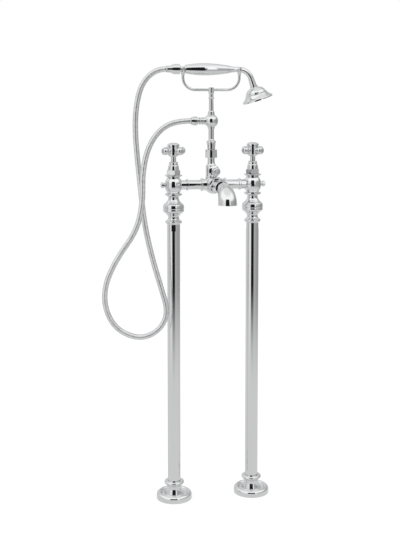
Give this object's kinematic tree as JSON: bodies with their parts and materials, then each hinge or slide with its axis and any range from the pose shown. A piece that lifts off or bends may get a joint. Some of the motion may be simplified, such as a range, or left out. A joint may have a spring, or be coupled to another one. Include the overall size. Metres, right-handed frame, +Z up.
{
  "type": "floor standing bath filler",
  "caption": "Chrome floor standing bath filler: two standpipes, a bridge mixer with cross handles, a spout, and a hand shower on a hose in a cradle.",
  "frame": {"origin": "on the floor, midway between the axes of the two standpipes", "axes": "+Z up along the standpipes, +X from the left standpipe to the right one, -Y forward along the spout"},
  "size_m": [0.3873, 0.2046, 0.9814],
  "materials": {
    "chrome": "bright polished chrome plate on cast brass",
    "tube_chrome": "bright polished chrome plate on drawn tube",
    "cover_chrome": "bright polished chrome plate on turned brass",
    "hose_chrome": "chrome-plated interlocked metal hose",
    "rose_face": "satin chrome shower plate",
    "raw_brass": "machined brass, unplated, hidden inside",
    "ceramic": "polished alumina ceramic, stood in for by gloss plastic",
    "fibre": "red vulcanised fibre washer"
  },
  "bodies": {
    "stand": {"ball_tee": "chrome", "centre_body": "chrome", "coupling_nut": "chrome", "cradle": "chrome", "cradle_screw": "chrome", "diverter_body": "chrome", "diverter_bush": "chrome", "fibre_washers": "fibre", "fixed_discs": "ceramic", "hose": "hose_chrome", "hose_outlet": "chrome", "left_bonnet": "chrome", "left_bonnet_nut": "chrome", "left_bridge_arm": "chrome", "left_floor_cover": "cover_chrome", "left_floor_plate": "raw_brass", "left_headwork": "raw_brass", "left_inlet_bush": "raw_brass", "left_leg_head": "chrome", "left_side_plug": "chrome", "left_standpipe": "tube_chrome", "left_union_nut": "chrome", "left_valve_body": "chrome", "left_valve_tail": "raw_brass", "lower_riser": "chrome", "right_bonnet": "chrome", "right_bonnet_nut": "chrome", "right_bridge_arm": "chrome", "right_floor_cover": "cover_chrome", "right_floor_plate": "raw_brass", "right_headwork": "raw_brass", "right_inlet_bush": "raw_brass", "right_leg_head": "chrome", "right_side_plug": "chrome", "right_standpipe": "tube_chrome", "right_union_nut": "chrome", "right_valve_body": "chrome", "right_valve_tail": "raw_brass", "spout": "chrome", "spout_union": "chrome", "tee_hose_nut": "chrome", "upper_riser": "chrome"},
    "left_handle": {"left_cross_handle": "chrome", "left_handle_cap": "chrome", "left_handle_screw": "raw_brass", "left_moving_disc": "ceramic", "left_spindle": "raw_brass"},
    "right_handle": {"right_cross_handle": "chrome", "right_handle_cap": "chrome", "right_handle_screw": "raw_brass", "right_moving_disc": "ceramic", "right_spindle": "raw_brass"},
    "diverter": {"diverter_spindle": "raw_brass", "diverter_knob": "chrome"},
    "handset": {"handset_face": "rose_face", "handset_ferrule": "chrome", "handset_grip": "chrome", "handset_head": "chrome", "handset_neck": "chrome", "handset_nut": "chrome"}
  },
  "joints": [
    {"name": "left_handle_turn", "type": "hinge", "parent": "stand", "child": "left_handle", "pos_m": [-0.09, 0, 0.79], "axis": [0, 0, 1], "range_deg": [0, 90]},
    {"name": "right_handle_turn", "type": "hinge", "parent": "stand", "child": "right_handle", "pos_m": [0.09, 0, 0.79], "axis": [0, 0, 1], "range_deg": [-90, 0]},
    {"name": "diverter_turn", "type": "hinge", "parent": "stand", "child": "diverter", "pos_m": [-0.005, 0, 0.7432], "axis": [0.2924, -0.9563, 0], "range_deg": [0, 90]},
    {"name": "handset_lift", "type": "slide", "parent": "stand", "child": "handset", "axis": [0, 0, 1], "range_m": [0, 0.05]}
  ]
}
